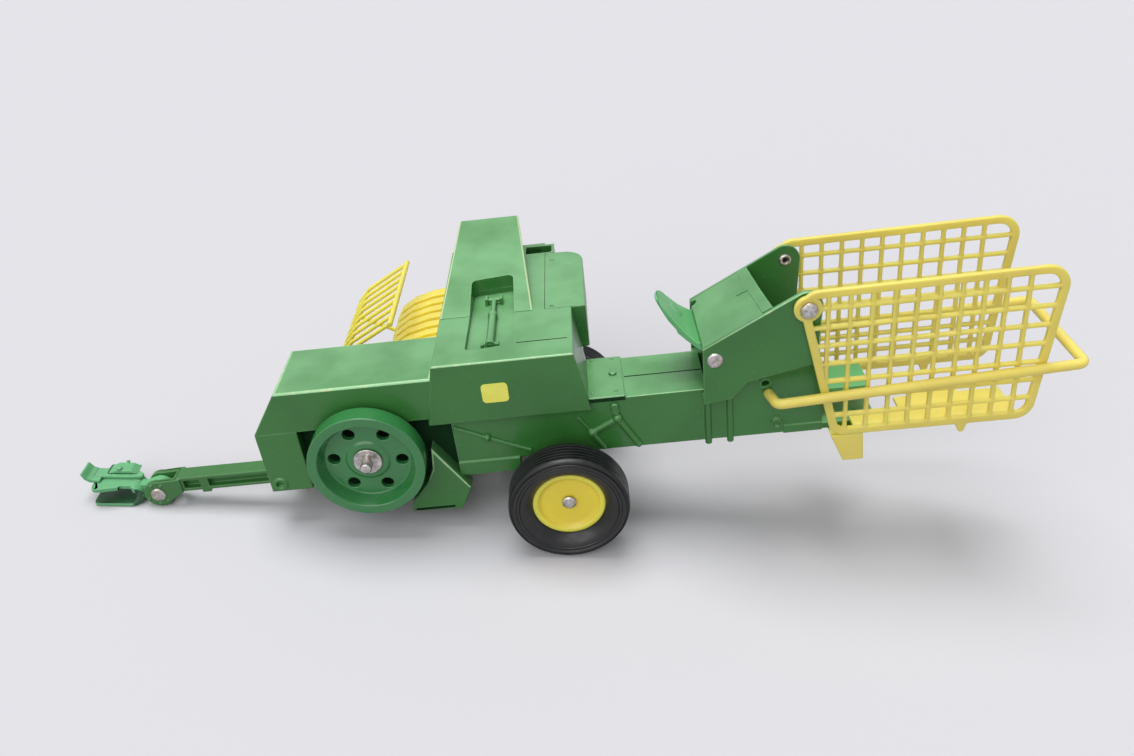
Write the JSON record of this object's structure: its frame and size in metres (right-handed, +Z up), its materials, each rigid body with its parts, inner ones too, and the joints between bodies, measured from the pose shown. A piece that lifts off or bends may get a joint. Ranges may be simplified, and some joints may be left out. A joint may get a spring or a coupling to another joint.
{
  "type": "toy square baler",
  "caption": "Towed toy square baler with a flywheel, a lever that throws bales, a caged bale carrier and a pivoting hitch jaw, on two wheels.",
  "frame": {"origin": "centre of the footprint, on the floor", "axes": "+X to the rear of the baler, away from its hitch; +Y to the baler's right; +Z up"},
  "size_m": [0.4124, 0.1262, 0.1335],
  "materials": {
    "green_paint": "sprayed gloss enamel over a die casting",
    "green_plastic": "moulded plastic, slightly bluer than the paint",
    "yellow_plastic": "moulded plastic",
    "hub_yellow": "moulded plastic, deeper yellow",
    "yellow_plate": "blank printed label stock",
    "zinc_plated_steel": "plated rivets and rod",
    "tyre": "matt moulded rubber"
  },
  "bodies": {
    "chassis": {"chamber_left": "green_paint", "chamber_right": "green_paint", "outlet_shelf": "green_paint", "knotter_cover": "green_paint", "linkage_left": "green_paint", "linkage_right": "green_paint", "needle_rail_left": "green_paint", "twine_box": "green_paint", "blank_plate": "yellow_plate", "feed_housing": "green_paint", "chain_case": "green_paint", "feed_trough": "green_paint", "feeder_cover": "green_paint", "feeder_ram": "green_paint", "gearbox_hood": "green_paint", "front_bracket": "green_paint", "gearbox": "green_paint", "gearbox_foot": "green_paint", "drawbar": "green_paint", "hitch_rivet": "zinc_plated_steel", "flywheel_axle": "zinc_plated_steel", "axle_beam": "green_paint", "axle": "zinc_plated_steel", "thrower_side_left": "green_paint", "thrower_side_right": "green_paint", "thrower_roof": "green_paint", "thrower_pin": "zinc_plated_steel", "cage_left": "yellow_plastic", "cage_right": "yellow_plastic", "bumper_loop": "yellow_plastic", "cage_floor": "yellow_plastic", "cage_yoke": "yellow_plastic", "cage_rivet_left": "zinc_plated_steel", "cage_rivet_right": "zinc_plated_steel", "pickup": "yellow_plastic", "pickup_bracket": "green_paint", "pickup_guard": "yellow_plastic"},
    "wheel_left": {"tyre_left": "tyre", "hub_left": "hub_yellow"},
    "wheel_right": {"tyre_right": "tyre", "hub_right": "hub_yellow"},
    "flywheel": {"flywheel": "green_plastic"},
    "thrower": {"thrower": "green_plastic"},
    "coupler": {"coupler": "green_plastic", "coupler_latch": "green_plastic", "hitch_pin": "green_plastic"}
  },
  "joints": [
    {"name": "wheel_left_spin", "type": "hinge", "parent": "chassis", "child": "wheel_left", "pos_m": [0.00648, -0.05575, 0.025], "axis": [0, 1, 0], "continuous": true},
    {"name": "wheel_right_spin", "type": "hinge", "parent": "chassis", "child": "wheel_right", "pos_m": [0.00648, 0.02635, 0.025], "axis": [0, 1, 0], "continuous": true},
    {"name": "flywheel_spin", "type": "hinge", "parent": "chassis", "child": "flywheel", "pos_m": [-0.07646, -0.04925, 0.03821], "axis": [0, 1, 0], "continuous": true},
    {"name": "thrower_lift", "type": "hinge", "parent": "chassis", "child": "thrower", "pos_m": [0.06109, -0.02545, 0.0885], "axis": [0, -1, 0], "range_deg": [0, 55]},
    {"name": "coupler_pitch", "type": "hinge", "parent": "chassis", "child": "coupler", "pos_m": [-0.17215, -0.02845, 0.0063], "axis": [0, 1, 0], "range_deg": [-30, 45]}
  ]
}
